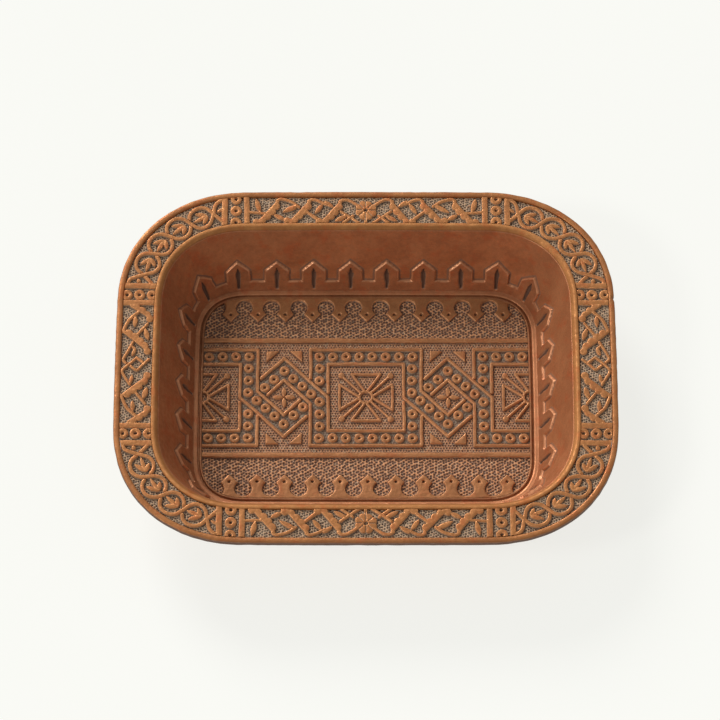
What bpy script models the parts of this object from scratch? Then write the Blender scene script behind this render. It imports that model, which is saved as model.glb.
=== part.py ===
"""Copper tray: a rounded oblong pan with a wide flat rim, and ornament applied to its rim, wall and floor.

Run it with: blender --background --python part.py

Lengths are in millimetres here and become metres in the meshes. The origin is on the surface that
the tray stands on, under its middle. +X runs along the long side and +Z is up. An "inset" is a
distance measured square to the outer edge, inwards. A "height" on the wall is measured from its foot.
"""

import math

import bmesh
import bpy
import numpy as np

MM = 0.001

# Plan outline of the outer edge: an oblong with full, rounded corners and slightly bowed sides.
HALF_WIDTH = 82.5
HALF_DEPTH = 66.3
CORNER_RADIUS = 42.7
CORNER_FULLNESS = 2.2  # exponent of the corner curve: 2 is a circle, and more is squarer
SHORT_SIDE_BOW = 1.2
LONG_SIDE_BOW = 0.6

# Levels above the surface that the tray stands on.
RIM_TOP = 26.0
RIM_EDGE_BOTTOM = 23.6
FLANGE_THICKNESS = 1.0
LEDGE_LEVEL = 2.3
SEAT_LEVEL = 1.1
FLOOR_GROUND = 1.85
FLOOR_RELIEF = 0.55
UNDERSIDE_RECESS = 0.35

# Insets of the lines between the pieces.
EDGE_MOULDING_INNER = 2.1
FRIEZE_INNER = 12.4
LIP_INNER = 14.3
WALL_FOOT = 25.0
LEDGE_INNER = 27.1
BEAD_INNER = 28.5
FOOT_RING_INNER = 31.0

WALL_THICKNESS = 1.8
FRIEZE_DEPTH = 0.6  # how far the ground of the frieze lies under the tops of the two mouldings
CARVING_DRAFT = 0.15  # how far the flank of a raised bar leans out from top to bottom
GAP = 0.1  # clearance between pieces that touch

# Battlement: a thin band round the foot of the wall, whose top edge is a row of pointed merlons.
BAND_THICKNESS = 0.45
BAND_FOOT = 0.9
NOTCH_HEIGHT = 3.6
SHOULDER_HEIGHT = 7.6
APEX_HEIGHT = 11.0
MERLON_HALF_WIDTH = 4.05
LONG_WALL_MERLONS = (6.3, 18.9, 31.5, 44.2)  # either side of the middle of each long wall
SHORT_WALL_MERLONS = (0.0, 13.1, 26.2)  # from the middle of each short wall

# Frieze separators: pairs of bars across the rim, where the straight panels meet the corner panels.
BAR_HALF_WIDTH = 0.95
LONG_SIDE_BARS = (40.45, 48.0)
SHORT_SIDE_BARS = (23.2, 29.9)

# Floor ornament: two bars along the tray, and squares and diamonds of double ribs between them.
FLOOR_BAR_Y = 22.0
FLOOR_BAR_WIDTH = 1.6
PATTERN_PERIOD = 55.4
RIB_WIDTH = 1.0
OUTER_SQUARE_HALF = 18.7
INNER_SQUARE_HALF = 12.8
OUTER_DIAMOND_HALF = 14.0
INNER_DIAMOND_HALF = 7.0
RIB_ROOT = 0.3  # how deep a rib is set into the plaque
LEVEL_STEP = 0.04  # crossing ribs differ in height by this much, as a woven strap does

COPPER = (0.42, 0.17, 0.075)
DARK_COPPER = (0.30, 0.115, 0.055)
GOLDEN_COPPER = (0.50, 0.23, 0.09)


class Outline:
    """The outer edge in plan, and every line parallel to it.

    A place round the tray is a "turn": the distance in millimetres along the outer edge,
    anticlockwise from the middle of the +X side.
    """

    CORNER_STEPS = 400
    SIDE_STEPS = 60

    def __init__(self):
        quarter = self.quarter()
        flip_x = np.array((-1.0, 1.0))
        second = quarter[::-1][1:] * flip_x
        half = np.concatenate((quarter, second))
        loop = np.concatenate((half, -half[1:]))
        length = np.concatenate(((0.0,), np.cumsum(np.hypot(*np.diff(loop, axis=0).T))))
        self.perimeter = length[-1]
        self.turns = np.linspace(0.0, self.perimeter, 4 * self.CORNER_STEPS + 1)
        self.edge = np.stack([np.interp(self.turns, length, loop[:, k]) for k in (0, 1)], axis=1)
        tangent = np.roll(self.edge[:-1], -1, axis=0) - np.roll(self.edge[:-1], 1, axis=0)
        tangent = np.concatenate((tangent, tangent[:1]))
        tangent /= np.hypot(*tangent.T)[:, None]
        self.outward = np.stack((tangent[:, 1], -tangent[:, 0]), axis=1)

    def quarter(self):
        """Points of the first quarter, from the middle of the +X side to the middle of the +Y side."""
        side_x = np.full(self.SIDE_STEPS, HALF_WIDTH)
        side_y = np.linspace(0.0, HALF_DEPTH - CORNER_RADIUS, self.SIDE_STEPS, endpoint=False)
        top_x = np.linspace(HALF_WIDTH - CORNER_RADIUS, 0.0, self.SIDE_STEPS + 1)[1:]
        top_y = np.full(self.SIDE_STEPS, HALF_DEPTH)
        angle = np.linspace(0.0, math.pi / 2, self.CORNER_STEPS)
        power = 2 / CORNER_FULLNESS
        corner_x = HALF_WIDTH - CORNER_RADIUS + CORNER_RADIUS * np.abs(np.cos(angle)) ** power
        corner_y = HALF_DEPTH - CORNER_RADIUS + CORNER_RADIUS * np.abs(np.sin(angle)) ** power
        x = np.concatenate((side_x, corner_x, top_x))
        y = np.concatenate((side_y, corner_y, top_y))
        across = x / HALF_WIDTH
        along = y / HALF_DEPTH
        bowed_x = x + SHORT_SIDE_BOW * across * (1 - along**2)
        bowed_y = y + LONG_SIDE_BOW * along * (1 - across**2)
        return np.stack((bowed_x, bowed_y), axis=1)

    def point(self, turn, inset):
        """The plan position at a turn and an inset."""
        turn = turn % self.perimeter
        x, y = (np.interp(turn, self.turns, self.edge[:, k]) for k in (0, 1))
        out_x, out_y = (np.interp(turn, self.turns, self.outward[:, k]) for k in (0, 1))
        return x - inset * out_x, y - inset * out_y

    def run(self, inset):
        """How far a line at this inset has run at each of self.turns."""
        line = self.edge - inset * self.outward
        return np.concatenate(((0.0,), np.cumsum(np.hypot(*np.diff(line, axis=0).T))))

    def first_crossing(self, axis, value, inset):
        """The turn in the first quarter where the line at this inset has x (axis 0) or y (axis 1) = value."""
        quarter = len(self.turns) // 4 + 1
        reached = (self.edge - inset * self.outward)[:quarter, axis]
        order = np.argsort(reached)
        return float(np.interp(value, reached[order], self.turns[:quarter][order]))

    def moved(self, turn, distance, inset):
        """The turn reached by going a distance from a turn, measured on the line at this inset."""
        run = self.run(inset)
        start = np.interp(turn % self.perimeter, self.turns, run)
        reached = (start + distance) % run[-1]
        return float(np.interp(reached, run, self.turns))


OUTLINE = Outline()
QUARTER_TURN = OUTLINE.perimeter / 4


def quarter_turns():
    """Turns that draw the first quarter smoothly: close together on the corner and sparse on the sides."""
    side = HALF_DEPTH - CORNER_RADIUS
    end = QUARTER_TURN - (HALF_WIDTH - CORNER_RADIUS)
    on_side = np.linspace(0.0, side, 3, endpoint=False)
    on_corner = np.linspace(side, end, 13)
    on_top = np.linspace(end, QUARTER_TURN, 4)[1:]
    return [float(turn) for turn in np.concatenate((on_side, on_corner, on_top))]


def in_all_quarters(stations):
    """Stations of the first quarter, mirrored into the other three, in order round the tray.

    Each station is a list of (turn, inset, level) corners. The first and last stations lie on the
    tray's two axes, so each of them is shared by two quarters.
    """
    def mirrored(quarter, pivot):
        return [[(pivot - turn, *rest) for turn, *rest in station] for station in quarter[::-1]]

    half = stations + mirrored(stations, 2 * QUARTER_TURN)[1:]
    return half + mirrored(half, 4 * QUARTER_TURN)[1:-1]


def same_profile(profile):
    """Stations all round the tray of one unchanging cross-section of (inset, level) corners."""
    return in_all_quarters([[(turn, inset, level) for inset, level in profile] for turn in quarter_turns()])


def new_object(name, mesh, colour, roughness):
    """Links a mesh to the scene as a named object with its own metal."""
    obj = bpy.data.objects.new(name, mesh)
    bpy.context.scene.collection.objects.link(obj)
    material = bpy.data.materials.new(name + "_metal")
    material.use_nodes = True
    shader = material.node_tree.nodes["Principled BSDF"]
    shader.inputs["Base Color"].default_value = (*colour, 1.0)
    shader.inputs["Metallic"].default_value = 1.0
    shader.inputs["Roughness"].default_value = roughness
    mesh.materials.append(material)
    return obj


def mesh_from(name, points, faces, smooth_angle=40):
    """A closed mesh from points in millimetres, with its faces turned outwards."""
    mesh = bpy.data.meshes.new(name)
    mesh.from_pydata([(x * MM, y * MM, z * MM) for x, y, z in points], [], faces)
    work = bmesh.new()
    work.from_mesh(mesh)
    bmesh.ops.recalc_face_normals(work, faces=work.faces)
    work.to_mesh(mesh)
    work.free()
    mesh.shade_smooth()
    mesh.set_sharp_from_angle(angle=math.radians(smooth_angle))
    return mesh


def ring_mesh(stations, open_after=None):
    """Points and faces of a ring through its stations, left open after one corner of the cross-section."""
    size = len(stations[0])
    points = []
    for station in stations:
        for turn, inset, level in station:
            points.append((*OUTLINE.point(turn, inset), level))
    faces = []
    for k in range(len(stations)):
        near = k * size
        far = (k + 1) % len(stations) * size
        for i in range(size):
            j = (i + 1) % size
            if i != open_after:
                faces.append((near + i, near + j, far + j, far + i))
    return points, faces


def swept_ring(name, stations, colour, roughness):
    """A closed ring as a named object, through its stations: loops of (turn, inset, level) corners."""
    return new_object(name, mesh_from(name, *ring_mesh(stations)), colour, roughness)


def wall_inset(height):
    """Inset of the wall's inner face at a height above its foot."""
    return WALL_FOOT - height * (WALL_FOOT - LIP_INNER) / (RIM_TOP - LEDGE_LEVEL)


WALL_LEAN = math.atan((WALL_FOOT - LIP_INNER) / (RIM_TOP - LEDGE_LEVEL))


def tray_shell():
    """The pan: floor, leaning wall and flat flange in one thickness of metal."""
    flange_top = RIM_EDGE_BOTTOM + FLANGE_THICKNESS
    flange_outer = EDGE_MOULDING_INNER + GAP
    outside = WALL_THICKNESS / math.cos(WALL_LEAN)
    wall_top_height = flange_top - LEDGE_LEVEL
    under_flange_height = RIM_EDGE_BOTTOM - LEDGE_LEVEL
    foot_round = 0.9
    inside = [
        (flange_outer, flange_top),
        (wall_inset(wall_top_height), flange_top),
        (wall_inset(foot_round), LEDGE_LEVEL + foot_round),
        (WALL_FOOT + 0.15, LEDGE_LEVEL + 0.25),
        (WALL_FOOT + 0.7, LEDGE_LEVEL),
        (LEDGE_INNER, LEDGE_LEVEL),
        (LEDGE_INNER, SEAT_LEVEL),
    ]
    underside = [
        (FOOT_RING_INNER + 0.6, UNDERSIDE_RECESS),
        (FOOT_RING_INNER, 0.0),
        (WALL_FOOT, 0.0),
        (WALL_FOOT - 0.9, 0.35),
        (wall_inset(0.0) - outside, LEDGE_LEVEL - 0.6),
        (wall_inset(under_flange_height - 1.0) - outside, RIM_EDGE_BOTTOM - 1.0),
        (wall_inset(under_flange_height) - outside - 0.9, RIM_EDGE_BOTTOM),
        (flange_outer, RIM_EDGE_BOTTOM),
    ]
    profile = inside + underside
    stations = same_profile(profile)
    points, faces = ring_mesh(stations, open_after=len(inside) - 1)
    size = len(profile)
    for corner in (len(inside) - 1, len(inside)):
        faces.append([k * size + corner for k in range(len(stations))])
    mesh = mesh_from("tray_shell", points, faces)
    return new_object("tray_shell", mesh, DARK_COPPER, 0.42)


def outer_edge_moulding():
    """The plain moulding round the outside of the rim, with its edges broken."""
    profile = [
        (0.0, RIM_EDGE_BOTTOM + 0.5),
        (0.0, RIM_TOP - 0.6),
        (0.45, RIM_TOP),
        (EDGE_MOULDING_INNER - 0.25, RIM_TOP),
        (EDGE_MOULDING_INNER, RIM_TOP - 0.25),
        (EDGE_MOULDING_INNER, RIM_EDGE_BOTTOM),
        (0.5, RIM_EDGE_BOTTOM),
    ]
    stations = same_profile(profile)
    return swept_ring("outer_edge_moulding", stations, COPPER, 0.36)


def rim_frieze():
    """The flat ornamented ring between the two mouldings, with the bars that divide its panels."""
    bottom = RIM_EDGE_BOTTOM + FLANGE_THICKNESS + GAP
    ground = RIM_TOP - FRIEZE_DEPTH
    bar_top = RIM_TOP - 0.05
    outer = EDGE_MOULDING_INNER + GAP
    inner = FRIEZE_INNER - GAP
    edges = []
    for axis, bars in ((0, LONG_SIDE_BARS), (1, SHORT_SIDE_BARS)):
        for bar in bars:
            for step, level in ((BAR_HALF_WIDTH + CARVING_DRAFT, ground), (BAR_HALF_WIDTH, bar_top)):
                for place in (bar - step, bar + step):
                    turns = [OUTLINE.first_crossing(axis, place, inset) for inset in (outer, inner)]
                    edges.append((*turns, level))
    clear = 1.0
    for turn in quarter_turns():
        if all(abs(turn - edge_turn) > clear for edge in edges for edge_turn in edge[:2]):
            edges.append((turn, turn, ground))
    stations = []
    for outer_turn, inner_turn, level in sorted(edges):
        stations.append([
            (outer_turn, outer, bottom),
            (outer_turn, outer, level),
            (inner_turn, inner, level),
            (inner_turn, inner, bottom),
        ])
    return swept_ring("rim_frieze", in_all_quarters(stations), COPPER, 0.5)


def inner_lip_moulding():
    """The rounded moulding where the rim turns down into the wall."""
    bottom = RIM_EDGE_BOTTOM + FLANGE_THICKNESS + GAP
    profile = [
        (FRIEZE_INNER, bottom),
        (FRIEZE_INNER, RIM_TOP - 0.25),
        (FRIEZE_INNER + 0.2, RIM_TOP),
        (LIP_INNER - 0.75, RIM_TOP),
        (LIP_INNER - 0.25, RIM_TOP - 0.18),
        (wall_inset(RIM_TOP - LEDGE_LEVEL - 0.6), RIM_TOP - 0.6),
        (wall_inset(bottom - LEDGE_LEVEL), bottom),
    ]
    stations = same_profile(profile)
    return swept_ring("inner_lip_moulding", stations, GOLDEN_COPPER, 0.3)


def merlon_centres():
    """Turn of each merlon's middle: along the walls, and one on each corner between their ends."""
    inset = wall_inset(NOTCH_HEIGHT)
    quarter_run = OUTLINE.run(inset)[-1] / 4
    corner = (SHORT_WALL_MERLONS[-1] + quarter_run - LONG_WALL_MERLONS[-1]) / 2
    runs = [*SHORT_WALL_MERLONS, corner, *(quarter_run - place for place in LONG_WALL_MERLONS)]
    centres = set()
    for middle in (0.0, 2 * QUARTER_TURN):
        for run in runs:
            for side in (-1, 1):
                centres.add(round(OUTLINE.moved(middle, side * run, inset), 6))
    return sorted(centres)


def battlement_band():
    """The band of pointed merlons that lies against the foot of the wall."""
    merlon = [
        (-MERLON_HALF_WIDTH - CARVING_DRAFT, NOTCH_HEIGHT),
        (-MERLON_HALF_WIDTH, SHOULDER_HEIGHT),
        (0.0, APEX_HEIGHT),
        (MERLON_HALF_WIDTH, SHOULDER_HEIGHT),
        (MERLON_HALF_WIDTH + CARVING_DRAFT, NOTCH_HEIGHT),
    ]
    faces_of_band = (GAP, GAP + BAND_THICKNESS)
    stations = []
    for centre in merlon_centres():
        for along, top in merlon:
            corners = []
            for height, proud in ((BAND_FOOT, 0), (top, 0), (top, 1), (BAND_FOOT, 1)):
                lift = faces_of_band[proud]
                inset = wall_inset(height) + lift * math.cos(WALL_LEAN)
                level = LEDGE_LEVEL + height + lift * math.sin(WALL_LEAN)
                corners.append((OUTLINE.moved(centre, along, inset), inset, level))
            stations.append(corners)
    return swept_ring("battlement_band", stations, DARK_COPPER, 0.45)


def floor_bead():
    """The narrow bead that frames the floor plaque, with the groove outside it."""
    outer = LEDGE_INNER + GAP
    bottom = SEAT_LEVEL + GAP
    groove_level = LEDGE_LEVEL - 0.5
    top = LEDGE_LEVEL + 0.15
    profile = [
        (outer, bottom),
        (outer, groove_level),
        (LEDGE_INNER + 0.6, groove_level),
        (LEDGE_INNER + 0.75, top - 0.15),
        (LEDGE_INNER + 0.95, top),
        (BEAD_INNER - 0.35, top),
        (BEAD_INNER - GAP, top - 0.2),
        (BEAD_INNER - GAP, bottom),
    ]
    stations = same_profile(profile)
    return swept_ring("floor_bead", stations, COPPER, 0.4)


def prism(name, outline, bottom, top):
    """A closed prism over a plan outline."""
    size = len(outline)
    points = [(x, y, level) for level in (bottom, top) for x, y in outline]
    faces = [list(range(size)), list(range(size, 2 * size))]
    faces += [(i, (i + 1) % size, size + (i + 1) % size, size + i) for i in range(size)]
    return mesh_from(name, points, faces)


def frame_prism(name, outer, inner, bottom, top):
    """A closed frame: the space between two plan loops with the same number of corners."""
    size = len(outer)
    points = [(x, y, level) for loop in (outer, inner) for level in (bottom, top) for x, y in loop]
    outer_bottom, outer_top, inner_bottom, inner_top = (size * k for k in range(4))
    faces = []
    for i in range(size):
        j = (i + 1) % size
        for first, second in ((outer_bottom, outer_top), (outer_top, inner_top),
                              (inner_top, inner_bottom), (inner_bottom, outer_bottom)):
            faces.append((first + i, first + j, second + j, second + i))
    return mesh_from(name, points, faces)


def square_corners(centre_x, half, turned):
    """Corners of a square about (centre_x, 0): on its flat, or turned 45 degrees with its points half away."""
    if turned:
        corners = [(half, 0.0), (0.0, half), (-half, 0.0), (0.0, -half)]
    else:
        corners = [(half, half), (-half, half), (-half, -half), (half, -half)]
    return [(centre_x + x, y) for x, y in corners]


def rib_frame(centre_x, half, turned, level_steps):
    """A square or diamond frame of one rib, set into the plaque."""
    reach = RIB_WIDTH / 2 * (math.sqrt(2) if turned else 1)
    outer = square_corners(centre_x, half + reach, turned)
    inner = square_corners(centre_x, half - reach, turned)
    top = FLOOR_GROUND + FLOOR_RELIEF - level_steps * LEVEL_STEP
    return frame_prism("rib", outer, inner, FLOOR_GROUND - RIB_ROOT, top)


def half_frame(side, half, level_steps):
    """The half square that the bead cuts off at one end of the floor: three straight ribs."""
    end = HALF_WIDTH + SHORT_SIDE_BOW - BEAD_INNER - 1.5
    far = PATTERN_PERIOD - half
    out = RIB_WIDTH / 2
    loop = [(end, half + out), (far - out, half + out), (far - out, -half - out), (end, -half - out),
            (end, -half + out), (far + out, -half + out), (far + out, half - out), (end, half - out)]
    top = FLOOR_GROUND + FLOOR_RELIEF - level_steps * LEVEL_STEP
    return prism("rib", [(side * x, y) for x, y in loop], FLOOR_GROUND - RIB_ROOT, top)


def floor_plaque():
    """The ornamented plate that fills the floor inside the bead."""
    inset = BEAD_INNER + GAP
    outline = [OUTLINE.point(*station[0][:2]) for station in same_profile([(inset, FLOOR_GROUND)])]
    mesh = prism("floor_plaque", outline, SEAT_LEVEL + GAP, FLOOR_GROUND)
    plaque = new_object("floor_plaque", mesh, COPPER, 0.45)
    ribs = []
    for side in (-1, 1):
        bar_end = HALF_WIDTH + SHORT_SIDE_BOW - BEAD_INNER - 1.0
        low = side * FLOOR_BAR_Y - FLOOR_BAR_WIDTH / 2
        high = side * FLOOR_BAR_Y + FLOOR_BAR_WIDTH / 2
        bar = [(bar_end, low), (bar_end, high), (-bar_end, high), (-bar_end, low)]
        ribs.append(prism("rib", bar, FLOOR_GROUND - RIB_ROOT, FLOOR_GROUND + FLOOR_RELIEF))
        ribs.append(half_frame(side, OUTER_SQUARE_HALF, 1))
        ribs.append(half_frame(side, INNER_SQUARE_HALF, 1))
        ribs.append(rib_frame(side * PATTERN_PERIOD / 2, OUTER_DIAMOND_HALF, True, 2))
        ribs.append(rib_frame(side * PATTERN_PERIOD / 2, INNER_DIAMOND_HALF, True, 2))
    ribs.append(rib_frame(0.0, OUTER_SQUARE_HALF, False, 1))
    ribs.append(rib_frame(0.0, INNER_SQUARE_HALF, False, 1))
    for number, rib_mesh in enumerate(ribs):
        rib = bpy.data.objects.new(f"rib_{number}", rib_mesh)
        bpy.context.scene.collection.objects.link(rib)
        rib.hide_render = True
        rib.display_type = "WIRE"
        join = plaque.modifiers.new(f"rib_{number}", "BOOLEAN")
        join.operation = "UNION"
        join.solver = "EXACT"
        join.object = rib
    return plaque


def main():
    for obj in list(bpy.data.objects):
        bpy.data.objects.remove(obj)
    tray = bpy.data.objects.new("tray", None)
    bpy.context.scene.collection.objects.link(tray)
    rim = (outer_edge_moulding, rim_frieze, inner_lip_moulding)
    well = (battlement_band, floor_bead, floor_plaque)
    for make in (tray_shell, *rim, *well):
        make().parent = tray


main()
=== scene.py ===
"""Looks of the copper tray: chased relief on its rim and floor, and aged copper on every piece.

Lengths are in millimetres here and become metres in the meshes. The origin is on the surface that
the tray stands on, under its middle. +X runs along the long side and +Z is up. An "inset" is a
distance inwards, square to the outer edge. A "height" on the wall is measured from its foot.
A relief is described by how far a place lies inside the raised metal, negative outside it.
"""

import math

import bpy
import numpy as np
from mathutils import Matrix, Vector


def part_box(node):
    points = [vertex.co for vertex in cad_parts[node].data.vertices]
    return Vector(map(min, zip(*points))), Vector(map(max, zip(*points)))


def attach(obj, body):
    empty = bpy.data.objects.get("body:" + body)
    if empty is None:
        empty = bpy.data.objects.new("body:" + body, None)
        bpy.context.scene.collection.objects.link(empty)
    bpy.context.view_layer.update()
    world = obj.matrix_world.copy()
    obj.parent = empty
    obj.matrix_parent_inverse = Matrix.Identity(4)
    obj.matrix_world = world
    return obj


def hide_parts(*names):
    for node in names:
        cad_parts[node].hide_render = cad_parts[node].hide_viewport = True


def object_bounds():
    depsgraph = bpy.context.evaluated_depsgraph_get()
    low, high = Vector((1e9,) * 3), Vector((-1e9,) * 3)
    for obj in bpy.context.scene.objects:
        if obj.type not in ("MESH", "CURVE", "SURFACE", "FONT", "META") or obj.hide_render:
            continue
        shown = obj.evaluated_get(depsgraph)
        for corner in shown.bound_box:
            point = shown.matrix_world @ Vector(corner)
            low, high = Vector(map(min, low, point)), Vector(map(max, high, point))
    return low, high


MM = 0.001
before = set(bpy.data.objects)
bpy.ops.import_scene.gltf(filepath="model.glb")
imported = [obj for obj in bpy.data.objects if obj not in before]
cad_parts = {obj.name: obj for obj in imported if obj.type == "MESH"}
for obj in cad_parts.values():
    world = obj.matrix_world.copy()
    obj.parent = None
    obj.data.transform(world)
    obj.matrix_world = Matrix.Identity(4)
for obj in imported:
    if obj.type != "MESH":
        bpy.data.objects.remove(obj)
CAD_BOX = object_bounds()


def level_of(node, corner):
    """Lowest (corner 0) or highest (corner 1) level of a CAD node."""
    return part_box(node)[corner].z / MM


# Plan outline of the outer edge: an oblong with full, rounded corners and slightly bowed sides.
CORNER_RADIUS = 42.7
CORNER_FULLNESS = 2.2  # exponent of the corner curve: 2 is a circle, and more is squarer
SHORT_SIDE_BOW = 1.2
LONG_SIDE_BOW = 0.6
HALF_WIDTH = CAD_BOX[1][0] / MM - SHORT_SIDE_BOW
HALF_DEPTH = CAD_BOX[1][1] / MM - LONG_SIDE_BOW

# Levels above the surface that the tray stands on.
GAP = 0.1  # clearance between pieces that touch
RIM_TOP = level_of("outer_edge_moulding", 1)
RIM_EDGE_BOTTOM = level_of("outer_edge_moulding", 0)
FLANGE_TOP = level_of("rim_frieze", 0) - GAP
FRIEZE_RELIEF = 0.72
FRIEZE_GROUND = RIM_TOP - 0.06 - FRIEZE_RELIEF
FRIEZE_MARKS = 0.42  # depth of the punch marks in the ground
FLOOR_TOP = level_of("floor_plaque", 1)
FLOOR_RELIEF = 0.72
FLOOR_GROUND = FLOOR_TOP - FLOOR_RELIEF
PLAQUE_BOTTOM = level_of("floor_plaque", 0)
LEDGE_LEVEL = 2.3
SEAT_LEVEL = PLAQUE_BOTTOM - GAP
UNDERSIDE_RECESS = 0.35

# Insets of the lines between the pieces.
EDGE_MOULDING_INNER = 2.1
FRIEZE_INNER = 12.4
LIP_INNER = 14.3
WALL_FOOT = 25.0
LEDGE_INNER = 27.1
BEAD_INNER = 28.5
FOOT_RING_INNER = 31.0
WALL_THICKNESS = 1.8

# Chasing: the surface is worked out at places this far apart, and forms rise over a steep flank.
GRID = 0.15
FLANK = 0.17
CROWN = 0.04  # how much the middle of a raised form stands over its edge, CROWN_REACH away
CROWN_REACH = 0.9
DENT_ROOM = 0.05  # taken off the whole surface, to make room for the crown and the unevenness
PIT_DEPTH = 0.2
MARK_FULL = 0.36  # a punch mark this deep is as dark as any
FAR_OUTSIDE = -50.0  # where there is no form at all

# How finely the rings are drawn: places round the tray, and the spacing of places along a profile.
PAN_TURNS = 1280
EDGE_TURNS = 1400
LIP_TURNS = 1300
BEAD_TURNS = 1000
BAND_TURNS = 1440
PAN_SPACING = 0.9
BAND_SPACING = 0.27  # up the part of the wall that has the merlons
BOTTOM_CIRCLES = 36
SHARP_ANGLE = 72  # degrees between two faces, beyond which their edge is drawn sharp

# Frieze
SEPARATOR_WIDTH = 1.9
LONG_SIDE_BARS = (40.45, 48.0)
SHORT_SIDE_BARS = (23.4, 29.9)
FRIEZE_MIDDLE = (EDGE_MOULDING_INNER + FRIEZE_INNER) / 2
RIM_SPANS = ((50.0, 70.0), (66.0, 86.0))  # from inside the rim to outside it: in y, and in x
DEPTH_SIDES = ((1, "back"), (-1, "front"))
ROUNDELS = 4
ROUNDEL_RADIUS = 4.0
STRAND_WIDTH = 1.2
NICK_Y = 25.0  # in the outer edge, on the right
HAIRLINE_Y = 11.0  # in the inner lip, on the right

# Battlement
BAND_THICKNESS = 0.78
BAND_SUNK = 0.12  # how far its edges go into the wall
BAND_STEP = 0.23
SHADE_BESIDE_MERLONS = 0.8  # painted shade: how dark the wall is made close beside them, as a share of the darkest tone
NOTCH_HEIGHT = 3.6
SHOULDER_HEIGHT = 7.6
APEX_HEIGHT = 11.0
MERLON_HALF_WIDTH = 4.05
SLIT_WIDTH = 1.55  # at its widest, SLIT_WAIST up the wall, from where it tapers to a point
SLIT_WAIST = 6.6
SLIT_APEX = 8.7
SLIT_FOOT = 0.9
SLIT_SHARE = 0.8  # of the band's thickness
LONG_WALL_MERLONS = (-43.6, -30.4, -17.8, -5.2, 7.1, 19.7, 32.4, 44.7)  # along X
SHORT_WALL_MERLONS = (-26.1, -12.6, 0.3, 13.8, 27.2)  # along Y

# Floor
FLOOR_BAR_Y = 22.0
FLOOR_BAR_WIDTH = 1.6
PERIOD = 55.4  # from one square to the next along the floor
RIB = 1.05  # width of the lines of the squares and diamonds
OUTER_SQUARE = (18.75, 18.4)
INNER_SQUARE = 12.8
STUD_ROW = 15.65
STUD_PITCH = 4.5
STUD = (1.7, 0.55)  # radius of a stud and of its hole
HUB = (2.6, 1.75)  # radius of the ring in the middle of a star, and of its hole
SQUARE_CHANNEL = (13.0, 18.3)  # between a square's lines, from its middle
DIAMOND_CHANNEL = (7.2, 14.6)  # between a diamond's lines, from its middle along an axis
DIAMOND_EDGE = 16.0  # within it the rows of punch marks slant
CHANNEL_DEPTH = 0.16  # of a channel below the ground, though its marks are shallower
ARCADE_PITCH = 9.3
ARCADE_END = 51.15
ARCADE_SHIFT = (0.3, 0.7)  # along X, of the far arcade and of the near one


class Outline:
    """The outer edge in plan, and every line parallel to it.

    A place round the tray is a "turn": the distance in millimetres along the outer edge,
    anticlockwise from the middle of the +X side.
    """

    CORNER_STEPS = 400
    SIDE_STEPS = 60

    def __init__(self):
        quarter = self.quarter()
        flip_x = np.array((-1.0, 1.0))
        second = quarter[::-1][1:] * flip_x
        half = np.concatenate((quarter, second))
        loop = np.concatenate((half, -half[1:]))
        length = np.concatenate(((0.0,), np.cumsum(np.hypot(*np.diff(loop, axis=0).T))))
        self.perimeter = length[-1]
        self.turns = np.linspace(0.0, self.perimeter, 4 * self.CORNER_STEPS + 1)
        self.edge = np.stack([np.interp(self.turns, length, loop[:, k]) for k in (0, 1)], axis=1)
        tangent = np.roll(self.edge[:-1], -1, axis=0) - np.roll(self.edge[:-1], 1, axis=0)
        tangent = np.concatenate((tangent, tangent[:1]))
        tangent /= np.hypot(*tangent.T)[:, None]
        self.outward = np.stack((tangent[:, 1], -tangent[:, 0]), axis=1)

    def quarter(self):
        """Points of the first quarter, from the middle of the +X side to that of the +Y side."""
        angle = np.linspace(0.0, math.pi / 2, self.CORNER_STEPS)
        corner_x, corner_y = (
            half - CORNER_RADIUS + CORNER_RADIUS * np.abs(wave(angle)) ** (2 / CORNER_FULLNESS)
            for half, wave in ((HALF_WIDTH, np.cos), (HALF_DEPTH, np.sin)))
        side_y = np.linspace(0.0, HALF_DEPTH - CORNER_RADIUS, self.SIDE_STEPS, endpoint=False)
        top_x = np.linspace(HALF_WIDTH - CORNER_RADIUS, 0.0, self.SIDE_STEPS + 1)[1:]
        x = np.concatenate((np.full(self.SIDE_STEPS, HALF_WIDTH), corner_x, top_x))
        y = np.concatenate((side_y, corner_y, np.full(self.SIDE_STEPS, HALF_DEPTH)))
        across = x / HALF_WIDTH
        along = y / HALF_DEPTH
        bowed_x = x + SHORT_SIDE_BOW * across * (1 - along**2)
        bowed_y = y + LONG_SIDE_BOW * along * (1 - across**2)
        return np.stack((bowed_x, bowed_y), axis=1)

    def point(self, turn, inset):
        """The plan position at a turn and an inset."""
        turn = turn % self.perimeter
        x, y = (np.interp(turn, self.turns, self.edge[:, k]) for k in (0, 1))
        out_x, out_y = (np.interp(turn, self.turns, self.outward[:, k]) for k in (0, 1))
        return x - inset * out_x, y - inset * out_y

    def run(self, inset):
        """How far a line at this inset has run at each of self.turns."""
        line = self.edge - inset * self.outward
        return np.concatenate(((0.0,), np.cumsum(np.hypot(*np.diff(line, axis=0).T))))

    def first_crossing(self, axis, value, inset):
        """The turn in the first quarter where x (axis 0) or y (axis 1) is a value, at an inset."""
        quarter = len(self.turns) // 4 + 1
        reached = (self.edge - inset * self.outward)[:quarter, axis]
        order = np.argsort(reached)
        return float(np.interp(value, reached[order], self.turns[:quarter][order]))

    def moved(self, turn, distance, inset):
        """The turn reached by going a distance from a turn, measured on the line at this inset."""
        run = self.run(inset)
        start = np.interp(turn % self.perimeter, self.turns, run)
        reached = (start + distance) % run[-1]
        return float(np.interp(reached, run, self.turns))


OUTLINE = Outline()
QUARTER_TURN = OUTLINE.perimeter / 4
WALL_SLOPE = (WALL_FOOT - LIP_INNER) / (RIM_TOP - LEDGE_LEVEL)
WALL_LEAN = math.atan(WALL_SLOPE)


def wall_inset(height):
    """Inset of the wall's inner face at a height above its foot."""
    return WALL_FOOT - height * WALL_SLOPE


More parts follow.
